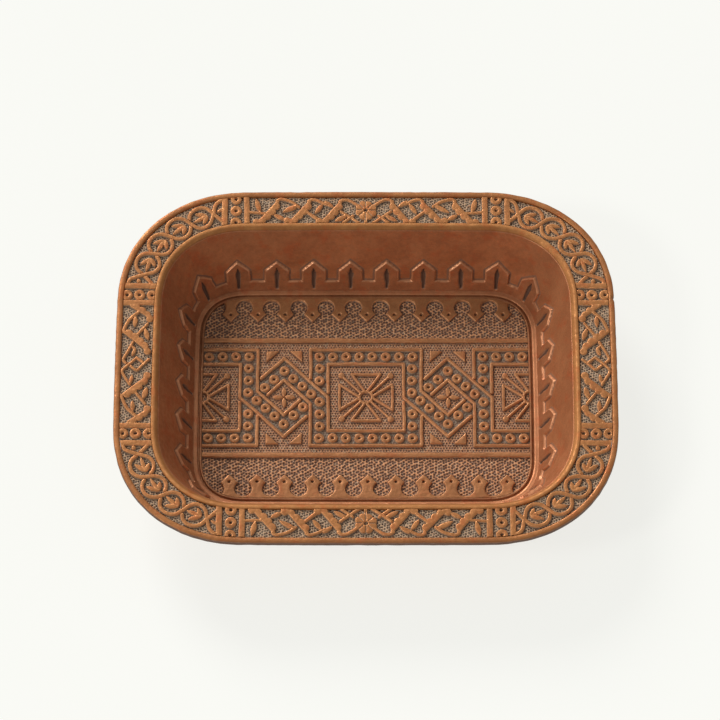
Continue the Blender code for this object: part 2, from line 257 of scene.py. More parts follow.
# --- Shapes over the plan ---


def wander(x, y, wavelength, size, seed, waves=9):
    """A smooth unevenness over the plan, such as a hand leaves: about -size to size."""
    draw = np.random.default_rng(seed)
    total = np.zeros(np.broadcast(x, y).shape)
    for _ in range(waves):
        angle, phase = draw.uniform(0, 2 * math.pi, 2)
        rate = 2 * math.pi / (wavelength * draw.uniform(0.6, 1.6))
        total += np.sin(rate * (x * math.cos(angle) + y * math.sin(angle)) + phase)
    return size * total / math.sqrt(waves)


def smooth(value):
    """0 below 0, 1 above 1, and a soft step between."""
    value = np.clip(value, 0.0, 1.0)
    return value * value * (3 - 2 * value)


def hump(value, middle, width):
    """A soft bump: 1 at the middle, and next to nothing two widths from it."""
    return np.exp(-((value - middle) / width) ** 2)


def between(value, low, high, soft):
    """1 between two values and 0 beyond them, with a soft step at each."""
    return smooth((value - low) / soft) * smooth((high - value) / soft)


def strip(x, y, start, end, radius, end_radius=None):
    """How far inside a straight strip with round ends, from one radius to another."""
    end_radius = radius if end_radius is None else end_radius
    dx = end[0] - start[0]
    dy = end[1] - start[1]
    share = ((x - start[0]) * dx + (y - start[1]) * dy) / max(dx * dx + dy * dy, 1e-9)
    share = np.clip(share, 0.0, 1.0)
    away = np.hypot(x - start[0] - share * dx, y - start[1] - share * dy)
    return radius + (end_radius - radius) * share - away


def disc(x, y, centre, radius):
    """How far inside a disc."""
    return radius - np.hypot(x - centre[0], y - centre[1])


def leaf(x, y, start, end, width):
    """How far inside a pointed oval from start to end: what two equal discs share."""
    dx = end[0] - start[0]
    dy = end[1] - start[1]
    length = math.hypot(dx, dy)
    radius = (length**2 + width**2) / (4 * width)
    offset = radius - width / 2
    inside = np.full(x.shape, radius)
    for side in (-1, 1):
        middle_x = (start[0] + end[0]) / 2 - side * offset * dy / length
        middle_y = (start[1] + end[1]) / 2 + side * offset * dx / length
        inside = np.minimum(inside, disc(x, y, (middle_x, middle_y), radius))
    return inside


def curve_through(points, steps=8):
    """Points of a smooth curve through the given ones."""
    padded = np.array([points[0], *points, points[-1]], float)
    path = []
    for a, b, c, d in zip(padded, padded[1:], padded[2:], padded[3:]):
        for t in np.linspace(0.0, 1.0, steps, endpoint=False):
            path.append((2 * b + (c - a) * t + (2 * a - 5 * b + 4 * c - d) * t**2
                         + (3 * b - a - 3 * c + d) * t**3) / 2)
    return [*path, padded[-1]]


def punch_marks(x, y, pitch, radius, depth, seed, jitter=0.2, turned=0.0):
    """Depth of round punch marks in rows, each a little out of place."""
    draw = np.random.default_rng(seed)
    cells = 64
    shifts = draw.uniform(-jitter, jitter, (cells, cells, 2)) * pitch
    blows = draw.uniform(0.65, 1.0, (cells, cells))
    u = x * math.cos(turned) + y * math.sin(turned)
    v = y * math.cos(turned) - x * math.sin(turned)
    deepest = np.zeros(x.shape)
    for i in (-1, 0, 1):
        for j in (-1, 0, 1):
            column = np.floor(u / pitch).astype(int) + i
            row = np.floor(v / pitch).astype(int) + j
            shift = shifts[column % cells, row % cells]
            away_u = u - (column + 0.5 + 0.5 * (row % 2)) * pitch - shift[..., 0]
            away_v = v - (row + 0.5) * pitch - shift[..., 1]
            bowl = np.clip(1 - (away_u**2 + away_v**2) / radius**2, 0.0, 1.0)
            deepest = np.maximum(deepest, depth * blows[column % cells, row % cells] * bowl)
    return deepest


class Relief:
    """Raised forms over a grid of plan positions, and the grooves engraved in their tops."""

    def __init__(self, x, y):
        self.x = x
        self.y = y
        self.inside = np.full(x.shape, FAR_OUTSIDE)
        self.engraved = np.zeros(x.shape)
        self.pit = np.full(x.shape, FAR_OUTSIDE)

    def add(self, inside):
        self.inside = np.maximum(self.inside, inside)

    def cut(self, inside):
        self.inside = np.minimum(self.inside, -inside)

    def strip(self, start, end, width, end_width=None):
        end_radius = None if end_width is None else end_width / 2
        self.add(strip(self.x, self.y, start, end, width / 2, end_radius))

    def stem(self, points, width, end_width=None):
        """A curved strip through the points."""
        path = curve_through(points)
        widths = np.linspace(width, width if end_width is None else end_width, len(path))
        for k in range(len(path) - 1):
            self.strip(path[k], path[k + 1], widths[k], widths[k + 1])

    def laid_over(self, points, width, gap=0.24):
        """A curved strip with a groove along its middle part, so that it passes over the rest."""
        middle = (np.array(points[len(points) // 2 - 1]), np.array(points[len(points) // 2]))
        ends = [middle[k] + 0.2 * (middle[1 - k] - middle[k]) for k in (0, 1)]
        self.cut(strip(self.x, self.y, *ends, width / 2 + gap))
        self.stem(points, width)

    def disc(self, centre, radius):
        self.add(disc(self.x, self.y, centre, radius))

    def stud(self, centre, radius, hole):
        away = np.hypot(self.x - centre[0], self.y - centre[1])
        self.add(np.minimum(radius - away, away - hole))
        self.pit = np.maximum(self.pit, hole - away)

    def leaf(self, start, end, width):
        self.add(leaf(self.x, self.y, start, end, width))

    def groove(self, start, end, width, depth):
        """A V groove in the tops."""
        across = strip(self.x, self.y, start, end, width / 2) / (width / 2)
        self.engraved = np.maximum(self.engraved, depth * np.clip(across, 0.0, 1.0))


# --- Ornament of the rim ---


def half_palmette(relief, start, end, knob, thickness, lobes=4):
    """A leaf with one straight edge from start to end, lobes along the other, and a curled knob."""
    x, y = relief.x, relief.y
    run = (end[0] - start[0], end[1] - start[1])
    length = math.hypot(*run)
    square = (run[1] / length, -run[0] / length)
    from_edge = (x - start[0]) * square[0] + (y - start[1]) * square[1]

    def beside(share, away):
        return tuple(start[k] + share * run[k] + away * square[k] for k in (0, 1))

    inside = strip(x, y, beside(0.0, 0.5), beside(1.0, 0.8), 0.5, 0.8)
    radius = 0.6 * length / lobes
    for k in range(lobes):
        share = (k + 0.75) / lobes
        lobe = beside(share, thickness * (0.8 + 0.2 * math.sin(math.pi * share)) - radius)
        inside = np.maximum(inside, disc(x, y, lobe, radius))
        inside = np.maximum(inside, strip(x, y, beside(share, 0.4), lobe, radius))
    relief.add(np.minimum(inside, from_edge))
    relief.stem([beside(0.92, 0.75), beside(1.05, 0.6), knob], 1.5, 1.9)
    relief.disc(knob, 1.25)


def bars(relief, axis, places):
    """Bars right across the rim, where x (axis 0) or y (axis 1) has each of these values."""
    for place in places:
        ends = [(place, reach) if axis == 0 else (reach, place) for reach in RIM_SPANS[axis]]
        relief.strip(*ends, SEPARATOR_WIDTH)


def rosette(relief, centre):
    """Eight petals round a small hole."""
    petals = 8

    def around(angle, away):
        return centre[0] + away * math.cos(angle), centre[1] + away * math.sin(angle)

    for k in range(petals):
        angle = (k + 0.5) * 2 * math.pi / petals
        relief.disc(around(angle, 2.35), 1.36)
        between_petals = angle + math.pi / petals
        relief.groove(around(between_petals, 1.3), around(between_petals, 4.0), 0.45, 0.3)
    relief.disc(centre, 2.8)
    relief.cut(disc(relief.x, relief.y, centre, 0.72))


def long_panel(relief):
    """The ornament of a long side's panel, from its rosette to one separator."""
    rosette(relief, (0.0, 59.6))
    relief.strip((0.0, 54.6), (0.0, 57.0), 1.0)
    relief.strip((1.9, 54.2), (8.4, 58.9), 0.95)
    relief.strip((4.3, 57.3), (8.2, 54.2), 0.95)
    for start, end, knob, thickness, stalk in (
        ((9.0, 62.9), (14.8, 55.5), (15.8, 55.1), 2.6,
         ((7.9, 63.6), (6.4, 63.6), (4.9, 62.9), (3.0, 61.5))),
        ((19.5, 63.2), (25.4, 56.1), (26.8, 55.4), 2.7,
         ((18.4, 63.8), (16.9, 63.6), (15.3, 62.9), (13.4, 61.9))),
        ((30.4, 63.1), (36.3, 55.7), (37.2, 54.8), 2.7,
         ((29.2, 63.8), (27.3, 63.5), (25.2, 62.7), (22.8, 61.0))),
    ):
        half_palmette(relief, start, end, knob, thickness)
        relief.stem([start, *stalk], 1.0)
    for start, end, width in (
        ((6.1, 57.7), (10.7, 55.1), 1.5), ((14.2, 63.3), (10.9, 60.7), 1.5),
        ((28.5, 58.7), (22.7, 61.6), 1.7), ((31.3, 57.7), (27.6, 55.7), 1.6),
        ((17.4, 58.2), (14.6, 62.1), 1.6), ((35.9, 58.7), (37.4, 64.2), 1.8),
    ):
        relief.leaf(start, end, width)
    relief.stem([(19.9, 58.9), (18.3, 57.6), (16.6, 56.2)], 0.95, 1.2)
    relief.stem([(40.0, 58.8), (37.2, 58.6), (34.0, 58.4)], 0.9)
    for place in (54.8, 59.3, 63.8):
        relief.stud((sum(LONG_SIDE_BARS) / 2, place), 1.9, 0.6)
    bars(relief, 0, LONG_SIDE_BARS)


def short_panel(relief):
    """The ornament of a short side's panel, from its middle to one separator."""
    half_palmette(relief, (78.9, 21.8), (73.5, 17.9), (72.5, 17.1), 2.3, 3)
    relief.stem([(81.3, 12.1), (80.3, 14.5), (79.3, 16.6), (77.9, 18.2), (76.3, 19.7)], 1.05)
    relief.leaf((77.2, 18.2), (77.4, 13.9), 1.5)
    half_palmette(relief, (81.4, 11.8), (74.0, 5.6), (72.8, 4.6), 2.75)
    relief.strip((76.3, 11.1), (73.2, 15.2), 0.95)
    relief.leaf((73.9, 13.5), (72.6, 8.9), 1.75)
    for place in (71.8, 76.05, 80.3):
        relief.stud((place, sum(SHORT_SIDE_BARS) / 2 - 0.3), 1.85, 0.6)
    bars(relief, 1, SHORT_SIDE_BARS)


def corner_bars(relief):
    """The halves of the separators' outer bars that belong to a corner panel."""
    bars(relief, 0, LONG_SIDE_BARS[1:])
    bars(relief, 1, SHORT_SIDE_BARS[1:])


def knot(relief):
    """The crossing twigs in the middle of a short side, which aren't mirrored."""
    meeting = (79.0, -0.3)
    relief.stem([(77.9, 8.2), (78.9, 6.1), (80.0, 3.9), (80.9, 1.9), (80.4, 0.8), meeting], 0.9)
    relief.leaf((78.4, 7.0), (76.6, 5.0), 1.0)
    relief.leaf((76.9, 5.8), (78.1, 2.9), 1.3)
    relief.stem([(72.3, 1.5), (74.4, -0.6), (76.2, -2.5), (77.7, -1.6), meeting], 0.9)
    relief.laid_over([(74.3, 0.4), (75.4, 1.3), (76.5, 2.2)], 0.9)
    relief.laid_over([(76.5, 2.2), (77.8, 0.9), (79.7, -0.9), (81.0, -2.2)], 0.9)
    relief.stem([(81.0, -2.2), (81.1, -3.4), (79.9, -5.7), (78.5, -8.0)], 0.9)
    relief.leaf((77.7, -4.2), (78.3, -7.7), 1.25)


def corner_place(along, out):
    """Plan position on a corner panel: along its middle line from the short side, and outwards."""
    return OUTLINE.point(OUTLINE.moved(CORNER_START, along, FRIEZE_MIDDLE), FRIEZE_MIDDLE - out)


def on_roundel(along, angle):
    """Plan position on the circle of a roundel, at an angle from the way on."""
    angle = math.radians(angle)
    return corner_place(along + ROUNDEL_RADIUS * math.cos(angle), ROUNDEL_RADIUS * math.sin(angle))


def corner_panel(relief):
    """Roundels of two strands: each loops over one roundel, crosses, and passes under the next."""
    end = OUTLINE.first_crossing(0, LONG_SIDE_BARS[1], FRIEZE_MIDDLE)
    run = OUTLINE.run(FRIEZE_MIDDLE)
    from_bar, to_bar = np.interp((CORNER_START, end), OUTLINE.turns, run)
    length = float(to_bar - from_bar)
    pitch = length / (ROUNDELS + 1)
    middles = [0.3 + (k + 1) * pitch for k in range(-1, ROUNDELS + 1)]
    leave = math.degrees(math.acos(2 * ROUNDEL_RADIUS / pitch))
    over = np.linspace(180 - leave, leave, 9)
    under = np.linspace(180 + leave, 360 - leave, 9)
    crossings = []
    for here, following in zip(middles, middles[1:]):
        first = [on_roundel(here, angle) for angle in over]
        second = [on_roundel(following, angle) for angle in under]
        if here == middles[0]:
            first = [corner_place(*place) for place in ((0.4, 4.4), (1.7, 4.0), (3.0, 2.2))]
        if following == middles[-1]:
            second = [corner_place(length - back, -out) for back, out in ((2.4, 2.2), (0.6, 4.6))]
        relief.stem([*first, *second], STRAND_WIDTH)
        crossings.append([*first[-3:], *second[:3]])
    first_under = [corner_place(0.4, -4.4), corner_place(2.2, -3.0)]
    relief.stem([*first_under, on_roundel(middles[1], 180 - leave)], STRAND_WIDTH)
    way_out = ((3.3, 1.2), (2.6, 2.9), (1.5, 4.2), (0.0, 4.9))
    last_under = [corner_place(length - back, out) for back, out in way_out]
    relief.stem([on_roundel(middles[-2], -leave), *last_under], STRAND_WIDTH)
    for path in crossings:
        relief.laid_over(path, STRAND_WIDTH)
    for here in middles[1:-1]:
        tip = corner_place(here + 2.4, -0.1)
        for along, out, width in ((-3.3, -0.5, 1.35), (-1.4, 2.3, 1.45), (-0.2, -2.6, 1.45)):
            relief.leaf(corner_place(here + along, out), tip, width)
    relief.disc(corner_place(1.7, 0.9), 0.75)
    relief.leaf(corner_place(length - 2.6, 0.2), corner_place(length - 0.2, 1.3), 1.0)


CORNER_START = OUTLINE.first_crossing(1, SHORT_SIDE_BARS[1], FRIEZE_MIDDLE)


def frieze_field(x, y, parts):
    """Levels of the rim's ornament over the plan, and its colouring: ageing, painted shade and
    painted highlights.
    """
    uneven_x = wander(x, y, 11.0, 0.10, seed=3)
    uneven_y = wander(x, y, 11.0, 0.10, seed=4)
    relief = Relief(np.abs(x + uneven_x), np.abs(y + uneven_y))
    for part in parts:
        part(relief)
    if short_panel in parts:
        centre = Relief(np.abs(x + uneven_x), y + uneven_y)
        knot(centre)
        relief.add(centre.inside)
    marks = punch_marks(x, y, 0.9, 0.48, FRIEZE_MARKS, seed=5, turned=0.35)
    return chased(relief, marks, 0.75, 0.45, x, y, FRIEZE_GROUND, FRIEZE_RELIEF)


def chased(relief, marks, patina, ridges, x, y, ground, rise):
    """Levels of a chased surface from its raised forms and its punched ground, and how it is
    coloured.

    The colouring is how dark each place is, from patina in its hollows and from painted shade
    beside the raised forms; how bright, from wear and painted highlight on edges and ridges; and
    how green its ground has turned.
    """
    raised = smooth(relief.inside / FLANK + 0.5)
    crown = CROWN * smooth(relief.inside / CROWN_REACH)
    dents = wander(x, y, 1.9, 0.012, seed=8) + wander(x, y, 9.0, 0.012, seed=9)
    pit = smooth(relief.pit / 0.2 + 0.5)
    level = ground + rise * raised - DENT_ROOM + crown + dents
    level = level - (marks + PIT_DEPTH * pit) * (1 - raised) - relief.engraved * raised
    level = np.minimum(level, ground + rise + CROWN)
    hollow = np.clip(marks / MARK_FULL, 0.0, 1.0)
    # Painted shade: the ground just outside each raised form is darkened, as if shaded by it.
    beside = hump(relief.inside, -0.22, 0.24)
    # Darkness: patina in the punch marks, holes and engraved grooves, and painted shade beside the
    # forms.
    recess = (1 - raised) * np.maximum(0.5 + 0.5 * hollow, np.maximum(0.95 * beside, pit))
    recess += raised * np.clip(relief.engraved / 0.3, 0.0, 1.0) * 0.6
    # Wear and painted highlight: the edges of the raised forms, and the ridges between punch marks,
    # are made brighter.
    wear_and_highlight = hump(relief.inside, 0.09, 0.09)
    wear_and_highlight += ridges * (1 - raised) * (1 - beside) * (1 - pit) * smooth(1 - hollow / 0.5)
    return level, recess, np.clip(wear_and_highlight, 0.0, 1.0), patina * np.ones(x.shape)


# --- Ornament of the floor ---


def interlace(relief, middle):
    """The two diamonds about a middle; their lines run on as the sides of the squares."""
    outer = PERIOD / 2 - OUTER_SQUARE[0]
    inner = PERIOD / 2 - INNER_SQUARE
    for turn in (1, -1):
        def at(x, y, turn=turn):
            return middle + turn * x, turn * y

        for start, end in (
            ((0.0, 15.0), (inner, 0.0)),
            ((inner, 0.0), (inner, -INNER_SQUARE)),
            ((0.0, 15.0), (-7.7, 7.3)),
            ((0.0, 6.7), (outer, -2.4)),
            ((outer, -2.4), (outer, -OUTER_SQUARE[1])),
            ((0.0, 6.7), (-5.4, 1.1)),
            ((outer, OUTER_SQUARE[1]), (outer, 7.4)),
            ((inner, INNER_SQUARE), (inner, 1.9)),
        ):
            relief.strip(at(*start), at(*end), RIB)
        for x, y in ((0.0, 10.2), (3.1, 7.2), (6.2, 4.2), (9.2, 1.25), (-3.4, 6.9), (-6.5, 3.8)):
            relief.stud(at(x, y), *STUD)
        relief.leaf(at(0.15, 0.0), at(3.9, 0.0), 1.5)
        relief.leaf(at(0.0, 0.15), at(0.0, 3.9), 1.5)
    beside, y = np.abs(relief.x - middle), np.abs(relief.y)
    within = np.minimum(6.05 - beside, 17.8 - y)
    relief.add(np.minimum(within, (beside + y - 19.65) / math.sqrt(2)))


def star(relief, middle):
    """The four-armed star in the middle of a square."""
    away = np.hypot(relief.x - middle, relief.y)
    relief.add(np.minimum(HUB[0] - away, away - HUB[1]))
    for x, y in ((1, 0), (0, 1), (-1, 0), (0, -1)):
        def at(out, side, x=x, y=y):
            return middle + x * out - y * side, y * out + x * side

        relief.strip(at(8.9, -4.8), at(8.9, 4.8), 0.9)
        for side in (-1, 1):
            relief.strip(at(2.3, 0.35 * side), at(8.9, 4.8 * side), 0.85)
    for x in (-1, 1):
        for y in (-1, 1):
            tip = (middle + 8.3 * x, 8.3 * y)
            relief.strip((middle + 1.8 * x, 1.8 * y), tip, 0.75)
            relief.disc(tip, 1.05)


def square_frame(relief, middle):
    """The level lines and the studs of a square; the interlace makes its sides."""
    for side in (-1, 1):
        for half_x, half_y in (OUTER_SQUARE, (INNER_SQUARE, INNER_SQUARE)):
            y = side * half_y
            relief.strip((middle - half_x, y), (middle + half_x, y), RIB)
        for k in range(-4, 4):
            relief.stud((middle + STUD_PITCH * (k + 0.5), side * STUD_ROW), *STUD)
        for place in (11.1, 6.4, 1.8, -6.4, -11.1):
            relief.stud((middle + side * STUD_ROW, side * place), *STUD)


def arcades(relief):
    """The pierced strips along the floor's long sides, between the bars and the bead."""
    x = relief.x - np.where(relief.y > 0, *ARCADE_SHIFT)
    y = np.abs(relief.y)
    step = np.abs(((x + ARCADE_PITCH / 2) % ARCADE_PITCH) - ARCADE_PITCH / 2)
    circle = np.hypot(ARCADE_PITCH / 2 - step, y - 34.7)
    gable = (y - 29.35 - 1.06 * step) / 1.45
    hole = np.hypot(step, y - 32.1)
    inside = np.minimum(gable, ARCADE_END - np.abs(x))
    for cutter in (circle - 2.9, hole - 0.55):
        inside = np.minimum(inside, cutter)
    relief.add(inside)
    relief.pit = np.maximum(relief.pit, 0.55 - hole)


def floor_field(x, y, parts):
    """Levels of the floor's ornament over the plan, and its colouring: ageing, painted shade and
    painted highlights.
    """
    uneven_x, uneven_y = (wander(x, y, 13.0, 0.07, seed=seed) for seed in (13, 14))
    relief = Relief(x + uneven_x, y + uneven_y)
    for part, *middle in parts:
        part(relief, *middle)
    for side in (-1, 1):
        relief.add(FLOOR_BAR_WIDTH / 2 - np.abs(relief.y - side * FLOOR_BAR_Y))
    from_square = np.abs((x + PERIOD / 2) % PERIOD - PERIOD / 2)
    square = np.maximum(from_square, np.abs(y))
    diamond = PERIOD / 2 - from_square + np.abs(y)
    level_rows = punch_marks(x, y, 0.94, 0.48, 0.4, seed=15, jitter=0.1)
    sloping_rows = punch_marks(x, y, 0.94, 0.48, 0.4, seed=16, jitter=0.1, turned=math.pi / 4)
    random_marks = punch_marks(x, y, 1.0, 0.55, 0.46, seed=17, jitter=0.22, turned=0.5)
    near_diamond = smooth((DIAMOND_EDGE - diamond) / 0.3)
    marks = sloping_rows * near_diamond + level_rows * (1 - near_diamond)
    channel = between(square, *SQUARE_CHANNEL, 0.3)
    channel = np.maximum(channel, between(diamond, *DIAMOND_CHANNEL, 0.3))
    marks = marks * (1 - 0.6 * channel)
    outside = np.abs(y) > FLOOR_BAR_Y
    channel = np.where(outside, 0.0, channel)
    marks = np.where(outside, random_marks, marks) + CHANNEL_DEPTH * channel
    ridges = np.where(outside, 0.9, 0.6 * (1 - channel))
    return chased(relief, marks, 0.2 + 0.3 * channel, ridges, x, y, FLOOR_GROUND, FLOOR_RELIEF)


# --- Meshes ---


def grid_quads(index):
    """Faces of a grid of point numbers."""
    corners = (index[:-1, :-1], index[:-1, 1:], index[1:, 1:], index[1:, :-1])
    return np.stack(corners, axis=-1).reshape(-1, 4)


def volume_of(points, faces):
    """Six times the signed volume inside faces that all have the same number of corners."""
    total = 0.0
    for k in range(1, faces.shape[1] - 1):
        a, b, c = (points[faces[:, i]] for i in (0, k, k + 1))
        total += float(np.einsum("ij,ij->i", a, np.cross(b, c)).sum())
    return total


def piece(name, points, quads, material, caps=(), **fields):
    """A closed piece from points in millimetres, with its faces turned outwards."""
    caps = [np.asarray(cap) for cap in caps]
    if volume_of(points, quads) + sum(volume_of(points, cap[None, :]) for cap in caps) < 0:
        quads = quads[:, ::-1]
        caps = [cap[::-1] for cap in caps]
    obj = mesh_object(name, points, quads.tolist() + [cap.tolist() for cap in caps], material)
    obj.data.shade_smooth()
    obj.data.set_sharp_from_angle(angle=math.radians(SHARP_ANGLE))
    for key, values in fields.items():
        attribute = obj.data.attributes.new(key, "FLOAT", "POINT")
        attribute.data.foreach_set("value", values.astype(np.float32).ravel())
    return obj


def linked(name, data):
    """A new object in the scene."""
    obj = bpy.data.objects.new(name, data)
    bpy.context.scene.collection.objects.link(obj)
    return obj


def mesh_object(name, points, faces, material):
    """An object from an array of points in millimetres and lists of their numbers."""
    mesh = bpy.data.meshes.new(name)
    mesh.from_pydata((points * MM).tolist(), [], faces)
    mesh.materials.append(material)
    return linked(name, mesh)


def plate(name, x, y, field, under, material):
    """A slab: a grid of plan positions with its levels on top, and a flat underside."""
    level, recess, wear_and_highlight, patina = field
    top = np.stack((x, y, level), axis=-1).reshape(-1, 3)
    index = np.arange(x.size).reshape(x.shape)
    rim = np.concatenate((index[0, :-1], index[:-1, -1], index[-1, :0:-1], index[:0:-1, 0]))
    below = top[rim].copy()
    below[:, 2] = under
    low = len(top) + np.arange(len(rim))
    sides = np.stack((np.roll(rim, -1), rim, low, np.roll(low, -1)), axis=1)
    fields = {key: np.concatenate((values.ravel(), np.zeros(len(rim))))
              for key, values in (("recess", recess), ("wear_and_highlight", wear_and_highlight), ("patina", patina))}
    points = np.concatenate((top, below))
    quads = np.concatenate((grid_quads(index), sides))
    return piece(name, points, quads, material, [low[::-1]], **fields)


def rounded(profile, radius, steps=4):
    """The corners of a closed (inset, level) profile, each replaced by a short curve."""
    corners = np.array(profile, float)
    curve = []
    for before, corner, after in zip(np.roll(corners, 1, 0), corners, np.roll(corners, -1, 0)):
        ends = []
        for other in (before, after):
            length = math.hypot(*(other - corner))
            ends.append(corner + (other - corner) / length * min(radius, 0.45 * length))
        for t in np.linspace(0.0, 1.0, steps + 1):
            curve.append((1 - t) ** 2 * ends[0] + 2 * t * (1 - t) * corner + t**2 * ends[1])
    return np.array(curve)


def divided(profile, spacing):
    """An open profile with points added, so that none are further apart than the spacing."""
    points = []
    for start, end in zip(profile, profile[1:]):
        count = max(1, math.ceil(math.hypot(*(end - start)) / spacing))
        points += [start + (end - start) * k / count for k in range(count)]
    return np.array([*points, profile[-1]])


def swept(profile, count):
    """Turn, inset and level of every point of a profile carried round the tray."""
    turns = np.linspace(0.0, OUTLINE.perimeter, count, endpoint=False)
    turn, inset = np.meshgrid(turns, profile[:, 0], indexing="ij")
    return turn, inset, np.broadcast_to(profile[:, 1], turn.shape)


def ring_index(shape, closed_profile=True):
    """Point numbers of a swept profile, with the first ones repeated where it closes."""
    index = np.arange(shape[0] * shape[1]).reshape(shape)
    index = np.concatenate((index, index[:1]))
    return np.concatenate((index, index[:, :1]), axis=1) if closed_profile else index


def points_at(turn, inset, level):
    """Points round the tray, one to a row."""
    x, y = OUTLINE.point(turn, inset)
    return np.stack((x, y, level), axis=-1).reshape(-1, 3)


def ring(name, turn, inset, level, material, **fields):
    """A closed ring through swept points."""
    quads = grid_quads(ring_index(turn.shape))
    return piece(name, points_at(turn, inset, level), quads, material, **fields)


def sagging(turn, beside, inset, lengths, size, seed):
    """How far a moulding has worn down: a slow waviness and a fine one."""
    slow = wander(turn, beside, lengths[0], size, seed)
    return np.abs(slow) + np.abs(wander(turn, inset, lengths[1], 0.02, seed + 1))


# --- Pieces ---


def pan(material):
    """The pan: leaning wall, ledge, flange and foot ring, slightly uneven from the hammer."""
    flange_outer = EDGE_MOULDING_INNER + GAP
    outside = WALL_THICKNESS / math.cos(WALL_LEAN)
    under_flange = RIM_EDGE_BOTTOM - LEDGE_LEVEL
    ledge = divided(np.array([
        (LEDGE_INNER, SEAT_LEVEL),
        (LEDGE_INNER, LEDGE_LEVEL - 0.15),
        (LEDGE_INNER - 0.15, LEDGE_LEVEL),
        (WALL_FOOT + 0.8, LEDGE_LEVEL),
        (WALL_FOOT + 0.3, LEDGE_LEVEL + 0.12),
        (wall_inset(0.5), LEDGE_LEVEL + 0.5),
        (wall_inset(1.1), LEDGE_LEVEL + 1.1),
    ]), PAN_SPACING)
    past_band = (wall_inset(APEX_HEIGHT + 1), LEDGE_LEVEL + APEX_HEIGHT + 1)
    beside_band = divided(np.array([ledge[-1], past_band]), BAND_SPACING)[1:]
    flange_and_outside = divided(np.array([
        (wall_inset(FLANGE_TOP - 0.12 - LEDGE_LEVEL), FLANGE_TOP - 0.12),
        (wall_inset(FLANGE_TOP - LEDGE_LEVEL), FLANGE_TOP),
        (flange_outer, FLANGE_TOP),
        (flange_outer, RIM_EDGE_BOTTOM),
        (wall_inset(under_flange) - outside - 1.4, RIM_EDGE_BOTTOM),
        (wall_inset(under_flange) - outside - 0.5, RIM_EDGE_BOTTOM - 0.3),
        (wall_inset(under_flange - 1.2) - outside, RIM_EDGE_BOTTOM - 1.2),
        (wall_inset(0.0) - outside, LEDGE_LEVEL - 0.6),
        (WALL_FOOT - 1.0, 0.4),
        (WALL_FOOT - 0.3, 0.05),
        (WALL_FOOT + 0.3, 0.0),
        (FOOT_RING_INNER - 0.3, 0.0),
        (FOOT_RING_INNER + 0.1, 0.08),
        (FOOT_RING_INNER + 0.6, UNDERSIDE_RECESS),
    ]), PAN_SPACING)
    profile = np.concatenate((ledge, beside_band, flange_and_outside))
    turn, inset, level = swept(profile, PAN_TURNS)
    inside, _ = band_field(turn[:, 0], profile[:, 1] - LEDGE_LEVEL)
    faces_well = np.arange(len(profile)) < len(ledge) + len(beside_band)
    # Painted shade: a strip of the wall round each merlon is darkened, as if in its shade.
    painted_shade_beside_merlons = hump(inside.T, -0.4, 0.36) * faces_well * (profile[:, 1] > LEDGE_LEVEL + 1)
    on_wall = smooth((level - LEDGE_LEVEL - 0.3) / 2) * smooth((FLANGE_TOP - 0.2 - level) / 1.5)
    outer_side = inset < wall_inset(level - LEDGE_LEVEL) - 0.6 * outside
    outer_side &= level < RIM_EDGE_BOTTOM - 0.3
    dents = 0.06 * np.sin(turn * 0.21 + level * 0.8) + wander(turn, level * 1.6, 9.0, 0.06, seed=21)
    inset = inset + np.where(outer_side, 1.0, on_wall) * np.where(level > 1.0, dents, 0.0)
    points = points_at(turn, inset, level)
    index = ring_index(turn.shape, closed_profile=False)
    circle = index[:, -1]
    points, bottom, circle = sunk_bottom(points, circle)
    caps = [circle[:-1], index[:-1, 0][::-1]]
    recess = np.zeros(len(points))
    recess[:painted_shade_beside_merlons.size] = SHADE_BESIDE_MERLONS * painted_shade_beside_merlons.ravel()
    quads = np.concatenate([grid_quads(index), *bottom])
    return [piece("pan", points, quads, material, caps, recess=recess)]


def sunk_bottom(points, circle):
    """The sunk underside: circles that shrink from a closed one of the points to a small cap.

    Gives the points with its own added, its faces, and the point numbers of the last circle.
    """
    last = points[circle[:-1]]
    quads = []
    for k in range(1, BOTTOM_CIRCLES):
        inner = last.copy()
        inner[:, :2] *= 1 - k / BOTTOM_CIRCLES
        inner[:, 2] += smooth(k / 2) * (0.05 + wander(inner[:, 0], inner[:, 1], 7.0, 0.07, seed=22))
        first = len(points)
        points = np.concatenate((points, inner))
        following = np.append(first + np.arange(len(inner)), first)
        quads.append(grid_quads(np.stack((circle, following), axis=1)))
        circle = following
    return points, quads, circle


def outer_edge(material):
    """The plain moulding round the rim, its top a little crowned, with one old nick."""
    profile = rounded([
        (0.0, RIM_EDGE_BOTTOM),
        (0.0, RIM_TOP - 0.15),
        (1.0, RIM_TOP),
        (EDGE_MOULDING_INNER, RIM_TOP - 0.12),
        (EDGE_MOULDING_INNER, RIM_EDGE_BOTTOM),
    ], 0.55)
    turn, inset, level = swept(profile, EDGE_TURNS)
    upper = smooth((level - RIM_EDGE_BOTTOM - 0.4) / 0.6)
    outer = smooth((1.2 - inset) / 0.8)
    sag = sagging(turn, level, inset, (16.0, 3.1), 0.05, seed=31)
    inset = inset + outer * np.abs(wander(turn, level, 11.0, 0.07, seed=33))
    nick = hump(turn, OUTLINE.first_crossing(1, NICK_Y, 0.0), 0.7)
    level = level - upper * (sag + 0.25 * nick * outer)
    inset = inset + 0.35 * nick * outer
    # Painted shade: the outer face is darkened towards its bottom, as if in the shade under the
    # rim.
    shade_under_edge = smooth((RIM_TOP - 0.1 - level) / 0.8) * smooth((1.0 - inset) / 0.6)
    return [ring("outer_edge", turn, inset, level, material, recess=0.15 + 0.85 * shade_under_edge)]


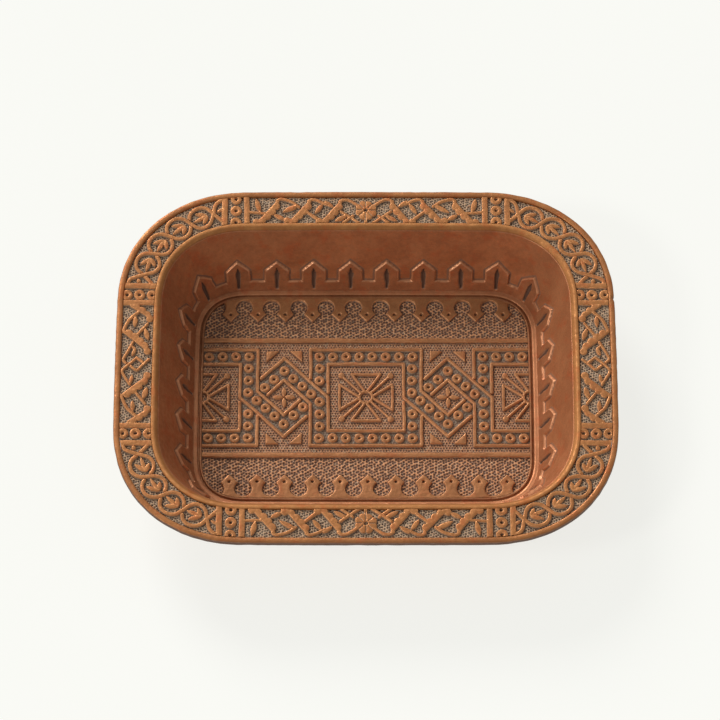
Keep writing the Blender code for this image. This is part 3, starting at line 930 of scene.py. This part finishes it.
def inner_lip(material):
    """The rounded moulding where the rim turns down into the wall, with a hairline joint."""
    profile = rounded([
        (FRIEZE_INNER, FLANGE_TOP + GAP),
        (FRIEZE_INNER, RIM_TOP - 0.02),
        (LIP_INNER - 0.7, RIM_TOP),
        (LIP_INNER - 0.1, RIM_TOP - 0.5),
        (wall_inset(FLANGE_TOP + GAP - LEDGE_LEVEL), FLANGE_TOP + GAP),
    ], 0.5, steps=6)
    turn, inset, level = swept(profile, LIP_TURNS)
    upper = smooth((level - FLANGE_TOP - 0.5) / 0.5)
    hairline = hump(turn, OUTLINE.first_crossing(1, HAIRLINE_Y, FRIEZE_INNER + 0.9), 0.16)
    sag = sagging(turn, inset * 2, inset, (13.0, 2.7), 0.05, seed=41)
    level = level - upper * (sag + 0.22 * hairline)
    return [ring("inner_lip", turn, inset, level, material)]


def frieze_piece(name, bounds, quarter, parts, material):
    """One panel of the frieze, between two lines across the rim, in one of the four quarters.

    Each bound is (axis, value): the line where x or y has that value in the first quarter.
    """
    insets = np.arange(EDGE_MOULDING_INNER + 0.05, FRIEZE_INNER - 0.05 + GRID / 2, GRID)
    crossings = []
    for axis, value in bounds:
        line = [OUTLINE.first_crossing(axis, abs(value), inset) for inset in insets]
        pivot = 0.0 if axis == 1 else QUARTER_TURN
        crossings.append([2 * pivot - turn if value < 0 else turn for turn in line])
    start, end = (np.array(line)[:, None] for line in crossings)
    count = math.ceil(float((end - start).max()) / (1.1 * GRID))
    turn = start + (end - start) * np.linspace(0.0, 1.0, count)
    x, y = OUTLINE.point(turn, np.broadcast_to(insets[:, None], turn.shape))
    x = x * quarter[0]
    y = y * quarter[1]
    return plate(name, x, y, frieze_field(x, y, parts), FLANGE_TOP + GAP, material)


def frieze(material):
    """The ornamented ring of the rim, in eight panels that meet on the separators' bars."""
    long_end = LONG_SIDE_BARS[1]
    short_end = SHORT_SIDE_BARS[1]
    panels = []
    for side, word in DEPTH_SIDES:
        bounds = ((0, long_end), (0, -long_end))
        panels.append((f"frieze_{word}", bounds, (1, side), [long_panel]))
    for side, word in ((1, "right"), (-1, "left")):
        bounds = ((1, -short_end), (1, short_end))
        panels.append((f"frieze_{word}", bounds, (side, 1), [short_panel]))
        for side_y, word_y in DEPTH_SIDES:
            bounds = ((1, short_end), (0, long_end))
            parts = [corner_panel, corner_bars]
            panels.append((f"frieze_{word_y}_{word}", bounds, (side, side_y), parts))
    return [frieze_piece(*panel, material) for panel in panels]


def floor_plates(material):
    """The plaque, in five plates that meet on the tops of its bars and of its square's sides."""
    plates = []
    outline_x, outline_y = OUTLINE.point(np.linspace(0.0, QUARTER_TURN, 4000), BEAD_INNER)
    top = float(outline_y[-1])
    shoulder = float(np.interp(-(HALF_WIDTH - CORNER_RADIUS), -outline_x, outline_y))
    share = np.linspace(0.0, 1.0, math.ceil((top - FLOOR_BAR_Y) / GRID))[:, None]
    across = np.linspace(-1.0, 1.0, math.ceil(2 * outline_x[0] / (1.1 * GRID)))[None, :]
    end_y = FLOOR_BAR_Y + share * (shoulder - FLOOR_BAR_Y)
    middle_y = FLOOR_BAR_Y + share * (top - FLOOR_BAR_Y)
    x = across * np.interp(end_y, outline_y, outline_x)
    y = middle_y + (end_y - middle_y) * across**2
    for side, word in DEPTH_SIDES:
        plates.append((f"floor_{word}_arcade", x, y * side, [(arcades,)]))
    spacing = 1.05 * GRID
    rows = np.linspace(-FLOOR_BAR_Y, FLOOR_BAR_Y, math.ceil(2 * FLOOR_BAR_Y / spacing))[:, None]
    edge = np.interp(np.abs(rows), outline_y, outline_x)
    seam = OUTER_SQUARE[0] + 0 * edge
    ornament = [(square_frame, 0.0), (star, 0.0), (interlace, -PERIOD / 2), (interlace, PERIOD / 2)]
    for word, start, end, squares in (
        ("middle", -seam, seam, ()),
        ("right", seam, edge, (PERIOD,)),
        ("left", -edge, -seam, (-PERIOD,)),
    ):
        count = math.ceil(float((end - start).max()) / spacing)
        x = start + (end - start) * np.linspace(0.0, 1.0, count)[None, :]
        parts = ornament + [(part, middle) for middle in squares for part in (square_frame, star)]
        plates.append((f"floor_{word}", x, np.broadcast_to(rows, x.shape), parts))
    return [plate(name, x, y, floor_field(x, y, parts), PLAQUE_BOTTOM, material)
            for name, x, y, parts in plates]


def bead(material):
    """The groove and the narrow bead that frame the plaque."""
    groove = LEDGE_LEVEL - 0.5
    top = LEDGE_LEVEL + 0.12
    profile = rounded([
        (LEDGE_INNER + 0.02, PLAQUE_BOTTOM),
        (LEDGE_INNER + 0.02, groove),
        (LEDGE_INNER + 0.5, groove),
        (LEDGE_INNER + 0.62, top),
        (BEAD_INNER - 0.05, top),
        (BEAD_INNER - 0.02, PLAQUE_BOTTOM),
    ], 0.25)
    turn, inset, level = swept(profile, BEAD_TURNS)
    sag = sagging(turn, inset, inset, (8.0, 1.9), 0.04, seed=51)
    level = level - smooth((level - groove) / 0.4) * sag
    return [ring("bead", turn, inset, level, material)]


def merlon(along, height):
    """How far inside a merlon of the battlement, and inside its slit, from its own middle line."""
    roof_rise = APEX_HEIGHT - SHOULDER_HEIGHT
    side = MERLON_HALF_WIDTH - np.abs(along)
    roof = (side * roof_rise + (SHOULDER_HEIGHT - height) * MERLON_HALF_WIDTH)
    roof /= math.hypot(roof_rise, MERLON_HALF_WIDTH)
    if height < SLIT_WAIST:
        slit_half = SLIT_WIDTH / 2 * (0.5 + 0.5 * height / SLIT_WAIST)
    else:
        slit_half = SLIT_WIDTH / 2 * (SLIT_APEX - height) / (SLIT_APEX - SLIT_WAIST)
    slit = np.minimum(slit_half - np.abs(along), height - SLIT_FOOT)
    return np.minimum(side, roof), slit


def merlon_turns():
    """The turn of each merlon's middle: along the walls, and one on each corner between them."""
    run = OUTLINE.run(wall_inset(NOTCH_HEIGHT))
    around = run[-1]
    places = []
    for side in (0, 2):
        places += [side * around / 4 + place * (1 - side) for place in SHORT_WALL_MERLONS]
        places += [(side + 1) * around / 4 - place * (1 - side) for place in LONG_WALL_MERLONS]
    places = sorted(place % around for place in places)
    gaps = np.diff([*places, places[0] + around])
    corners = [place + gap / 2 for place, gap in zip(places, gaps) if gap > 1.5 * min(gaps)]
    places += [place % around for place in corners]
    return [float(np.interp(place, run, OUTLINE.turns)) for place in places]


def band_field(turns, heights):
    """How far inside the battlement, and inside its slits, at turns and heights over the wall."""
    middles = merlon_turns()
    inside = np.repeat(NOTCH_HEIGHT - heights[:, None], len(turns), axis=1)
    slits = np.full(inside.shape, FAR_OUTSIDE)
    for row, height in enumerate(heights):
        run = OUTLINE.run(wall_inset(height))
        here = np.interp(turns, OUTLINE.turns, run)
        hand = wander(here, height, 5.0, 0.07, seed=61)
        for middle in middles:
            along = here - np.interp(middle, OUTLINE.turns, run)
            along = (along + run[-1] / 2) % run[-1] - run[-1] / 2
            solid, slit = merlon(along + hand, height)
            inside[row] = np.maximum(inside[row], solid)
            slits[row] = np.maximum(slits[row], slit)
    return inside, slits


def battlement(material):
    """The band of pointed, slit merlons against the foot of the wall."""
    heights = np.arange(0.25, APEX_HEIGHT + 0.4, BAND_STEP)
    turns = np.linspace(0.0, OUTLINE.perimeter, BAND_TURNS, endpoint=False)
    inside, slits = band_field(turns, heights)
    lift = (BAND_THICKNESS + BAND_SUNK) * smooth(inside / 0.26 + 0.5) - BAND_SUNK
    lift -= SLIT_SHARE * BAND_THICKNESS * smooth(slits / 0.24 + 0.5)
    lift += smooth(inside / 0.3) * wander(turns[None, :], heights[:, None], 4.0, 0.03, seed=62)
    cells = np.maximum(inside, np.roll(inside, -1, axis=1))
    kept = np.maximum(cells[:-1], cells[1:]) > -BAND_SUNK
    sheets = []
    for out in (lift, np.full(lift.shape, -2.5 * BAND_SUNK)):
        inset = wall_inset(heights)[:, None] + out * math.cos(WALL_LEAN)
        level = LEDGE_LEVEL + heights[:, None] + out * math.sin(WALL_LEAN)
        sheets.append(points_at(np.broadcast_to(turns, out.shape), inset, level))
    on_merlon = heights[:, None] > NOTCH_HEIGHT + 0.6
    # Wear and painted highlight: the band's edges are made brighter, most on the merlons.
    wear_and_highlight = hump(inside, 0.14, 0.16) * np.where(on_merlon, 1.0, 0.35)
    fields = {"recess": smooth(slits / 0.3 + 0.7), "wear_and_highlight": wear_and_highlight}
    return [trimmed_ring("battlement", sheets, kept, fields, material)]


def trimmed_ring(name, sheets, kept, fields, material):
    """A closed piece between two grids of points round the tray, where their cells are kept."""
    size = len(sheets[0])
    index = np.arange(size).reshape(kept.shape[0] + 1, -1)
    index = np.concatenate((index, index[:, :1]), axis=1)
    front = grid_quads(index)[kept.ravel()]
    edges = np.concatenate([front[:, [k, (k + 1) % 4]] for k in range(4)])
    outward = edges[:, 0] * size + edges[:, 1]
    inward = edges[:, 1] * size + edges[:, 0]
    start, end = edges[~np.isin(outward, inward)].T
    sides = np.stack((end, start, start + size, end + size), axis=1)
    quads = np.concatenate((front, front[:, ::-1] + size, sides))
    used, quads = np.unique(quads, return_inverse=True)
    points = np.concatenate(sheets)[used]
    fields = {key: np.tile(values.ravel(), 2)[used] for key, values in fields.items()}
    return piece(name, points, quads.reshape(-1, 4), material, **fields)


# --- Materials ---


class Finish:
    """A node material being put together around one Principled shader."""

    def __init__(self, name):
        self.material = bpy.data.materials.new(name)
        self.material.use_nodes = True
        self.tree = self.material.node_tree
        self.shader = self.tree.nodes["Principled BSDF"]
        self.place = self.node("ShaderNodeTexCoord").outputs["Object"]

    def node(self, kind, inputs=(), **settings):
        """A new node with its settings, and its inputs linked or set."""
        made = self.tree.nodes.new(kind)
        for key, value in settings.items():
            setattr(made, key, value)
        self.feed(made, inputs)
        return made

    def feed(self, node, inputs):
        for key, value in dict(inputs).items():
            if isinstance(value, bpy.types.NodeSocket):
                self.tree.links.new(value, node.inputs[key])
            else:
                node.inputs[key].default_value = value

    def noise(self, size, detail=3.0, roughness=0.55, stretch=None, low=0.35, high=0.65, warp=0.0):
        """Noise with features of a size in millimetres, spread to run from 0 to 1."""
        place = self.place
        if stretch is not None:
            inputs = {"Vector": place, "Scale": stretch}
            place = self.node("ShaderNodeMapping", inputs).outputs["Vector"]
        noise = self.node("ShaderNodeTexNoise", {
            "Vector": place, "Scale": 1 / (size * MM), "Detail": detail,
            "Roughness": roughness, "Distortion": warp,
        })
        return self.spread(noise.outputs["Fac"], low, high)

    def spread(self, value, low, high, to_low=0.0, to_high=1.0):
        """A soft step from to_low to to_high while the value goes from low to high."""
        ramp = self.node("ShaderNodeMapRange", {
            "Value": value, "From Min": low, "From Max": high, "To Min": to_low, "To Max": to_high,
        }, interpolation_type="SMOOTHSTEP")
        return ramp.outputs["Result"]

    def maths(self, operation, *values):
        return self.node("ShaderNodeMath", enumerate(values), operation=operation).outputs["Value"]

    def times(self, value, factor):
        return self.maths("MULTIPLY", value, factor)

    def attribute(self, name):
        return self.node("ShaderNodeAttribute", attribute_name=name).outputs["Fac"]

    def mixed(self, share, first, second):
        """A colour from first (share 0) to second (share 1)."""
        mix = self.node("ShaderNodeMix", {0: share}, data_type="RGBA")
        for key, colour in ((6, first), (7, second)):
            plain = not isinstance(colour, bpy.types.NodeSocket)
            self.feed(mix, {key: (*colour, 1.0) if plain else colour})
        return mix.outputs[2]

    def bump(self, height, depth):
        """Fine unevenness, depth in millimetres for a height of 1."""
        inputs = {"Strength": 1.0, "Distance": depth * MM, "Height": height}
        self.feed(self.shader, {"Normal": self.node("ShaderNodeBump", inputs).outputs["Normal"]})


METALLIC = 0.55  # under a skin of oxide, so not wholly a metal's reflection
GROUND_BROWN = (0.26, 0.12, 0.062)
VERDIGRIS = (0.31, 0.26, 0.185)
# Darkest tone: of the hollows, and of the painted shade.
PIT_AND_SHADE_DARK = (0.115, 0.055, 0.032)
REDDENED = (1.05, 0.72, 0.6)
# A brighter tone for rubbed edges, which also serves as a painted highlight on them.
WORN_HIGHLIGHT_GAIN = 1.7
WORN_HIGHLIGHT_LIFT = (0.03, 0.06, 0.05)
SCRATCH_STRETCH = (0.12, 1.0, 1.0)

# Of each copper: its bright and dark tone, roughness, tarnish, and whether it follows the relief.
COPPERS = {
    "wall_copper": ((0.50, 0.205, 0.086), (0.385, 0.142, 0.056), 0.46, 0.3, True),
    "edge_copper": ((0.42, 0.167, 0.05), (0.31, 0.112, 0.033), 0.42, 0.4, True),
    "lip_copper": ((0.47, 0.20, 0.06), (0.37, 0.145, 0.04), 0.54, 0.3, False),
    "band_copper": ((0.47, 0.195, 0.086), (0.36, 0.137, 0.056), 0.44, 0.35, True),
    "bead_copper": ((0.36, 0.15, 0.06), (0.25, 0.095, 0.036), 0.44, 0.5, False),
    "rim_copper": ((0.47, 0.192, 0.06), (0.35, 0.133, 0.04), 0.42, 0.4, True),
    "floor_copper": ((0.42, 0.175, 0.064), (0.30, 0.118, 0.04), 0.42, 0.45, True),
}


def aged_copper(name, bright, dark, rough, tarnish, relief):
    """Old, handled copper: blotched between two tones, speckled with tarnish, and scratched."""
    finish = Finish(name)
    times, spread = finish.times, finish.spread
    blotch = finish.noise(9.0, detail=4.0, low=0.38, high=0.62, warp=0.4)
    mottle = finish.noise(1.6, detail=4.0, roughness=0.65, low=0.32, high=0.7)
    speck = finish.noise(0.42, detail=2.0, roughness=0.6, low=0.55, high=0.74)
    scratch = finish.noise(0.9, detail=2.0, stretch=SCRATCH_STRETCH, low=0.5, high=0.68)
    tone = finish.maths("ADD", times(blotch, 0.55), times(mottle, 0.45))
    colour = finish.mixed(tone, dark, bright)
    red = tuple(0.5 * (a + b) * k for a, b, k in zip(bright, dark, REDDENED))
    colour = finish.mixed(times(finish.noise(4.2, low=0.5, high=0.7), 0.6), colour, red)
    brown = tuple(0.35 * value for value in dark)
    colour = finish.mixed(times(speck, tarnish), colour, brown)
    roughness = spread(mottle, 0.0, 1.0, rough + 0.1, rough - 0.06)
    metal = spread(speck, 0.0, 1.0, METALLIC, 0.6 * METALLIC)
    if relief:
        # Darkening from the mesh: patina in the hollows, and painted shade beside raised forms,
        # beside the merlons and low on the outer edge.
        recess = finish.attribute("recess")
        cloud = finish.noise(1.3, detail=3.0, roughness=0.7, low=0.25, high=0.75)
        green = finish.maths("ADD", cloud, times(finish.attribute("patina"), 1.2))
        ground = finish.mixed(spread(green, 0.75, 1.25), GROUND_BROWN, VERDIGRIS)
        ground = finish.mixed(spread(recess, 0.6, 0.95), ground, PIT_AND_SHADE_DARK)
        patina_and_shade = spread(recess, 0.2, 0.5)
        colour = finish.mixed(patina_and_shade, colour, ground)
        # Wear and painted highlight on edges: a brighter tone where the mesh marks it.
        worn_highlight = tuple(min(1.0, WORN_HIGHLIGHT_GAIN * value + lift) for value, lift in zip(bright, WORN_HIGHLIGHT_LIFT))
        colour = finish.mixed(times(finish.attribute("wear_and_highlight"), 0.75), colour, worn_highlight)
        roughness = finish.maths("ADD", roughness, times(patina_and_shade, 0.25))
        metal = times(metal, spread(patina_and_shade, 0.0, 1.0, 1.0, 0.2))
    finish.feed(finish.shader, {"Base Color": colour, "Roughness": roughness, "Metallic": metal})
    finish.bump(finish.maths("SUBTRACT", times(mottle, 0.6), times(scratch, 0.5)), 0.03)
    return finish.material


SWEEP_GLOW = 0.8  # the sweep is lit from below too, as on a light table
SWEEP_REACH = 3000.0
SWEEP_LEVEL = -0.1  # a little under the foot ring, which is at 0
# The key comes from behind on the left, and the side light from the left and a little in front.
# Strength, spread, height above the floor, and the way the light is turned about the vertical
# from one that shines along +Y. Angles are in degrees.
LIGHTS = {
    "key": (2.5, 25.0, 33.0, 208.0),
    "side": (0.95, 12.0, 40.0, 292.0),
}
FILL_STRENGTH = 0.4

CAMERA_DISTANCE = 1390.0
CAMERA_HEIGHT = 61.0  # degrees above the rim's plane
CAMERA_LENS = 208.7
CAMERA_SHIFT = (-0.0082, 0.0040)


def sweep_material():
    """A pale, matt studio sweep with a faint unevenness."""
    finish = Finish("pale_sweep")
    cloud = finish.noise(400.0, detail=1.0)
    finish.feed(finish.shader, {
        "Base Color": finish.mixed(cloud, (0.16, 0.16, 0.153), (0.17, 0.17, 0.163)),
        "Emission Color": (0.975, 0.98, 0.935, 1.0),
        "Emission Strength": SWEEP_GLOW,
        "Roughness": 0.9,
        "Specular IOR Level": 0.1,
    })
    return finish.material


# --- Scene ---


def stand_for(obj, nodes):
    """Puts a piece in place of CAD nodes, on the tray's one body."""
    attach(obj, "root")
    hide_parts(*nodes)


def tray():
    """Every piece of the tray."""
    for make, copper, nodes, slot in (
        (pan, "wall_copper", ["tray_shell"], "shell_copper"),
        (outer_edge, "edge_copper", ["outer_edge_moulding"], "edge_copper"),
        (inner_lip, "lip_copper", ["inner_lip_moulding"], "lip_copper"),
        (battlement, "band_copper", ["battlement_band"], "band_copper"),
        (bead, "bead_copper", ["floor_bead"], "bead_copper"),
        (frieze, "rim_copper", ["rim_frieze"], "frieze_copper"),
        (floor_plates, "floor_copper", ["floor_plaque"], "floor_copper"),
    ):
        for obj in make(aged_copper(copper, *COPPERS[copper])):
            stand_for(obj, nodes)


def studio():
    """A pale, glowing floor, two lamps, and an even fill from all round."""
    signs = np.array([(-1, -1), (1, -1), (1, 1), (-1, 1)])
    corners = np.concatenate((signs * SWEEP_REACH, np.full((4, 1), SWEEP_LEVEL)), axis=1)
    floor = mesh_object("studio_floor", corners, [(0, 1, 2, 3)], sweep_material())
    for name, (strength, spread, height, bearing) in LIGHTS.items():
        light = bpy.data.lights.new(name, "SUN")
        light.energy = strength
        light.angle = math.radians(spread)
        light.color = (1.0, 0.985, 0.965)
        linked(name, light).rotation_euler = (math.radians(90 - height), 0.0, math.radians(bearing))
    world = bpy.data.worlds.new("studio")
    world.use_nodes = True
    background = world.node_tree.nodes["Background"]
    background.inputs["Color"].default_value = (0.97, 0.985, 1.0, 1.0)
    background.inputs["Strength"].default_value = FILL_STRENGTH
    bpy.context.scene.world = world
    bpy.context.scene.view_settings.view_transform = "Standard"


def camera():
    """A long lens looking down at the middle of the rim."""
    data = bpy.data.cameras.new("camera")
    data.lens = CAMERA_LENS
    data.sensor_width = 36.0
    data.shift_x, data.shift_y = CAMERA_SHIFT
    data.clip_end = 20.0
    view = linked("camera", data)
    height = math.radians(CAMERA_HEIGHT)
    view.location = (0.0, -CAMERA_DISTANCE * math.cos(height) * MM,
                     (RIM_TOP + CAMERA_DISTANCE * math.sin(height)) * MM)
    view.rotation_euler = (math.pi / 2 - height, 0.0, 0.0)
    bpy.context.scene.camera = view


tray()
studio()
camera()
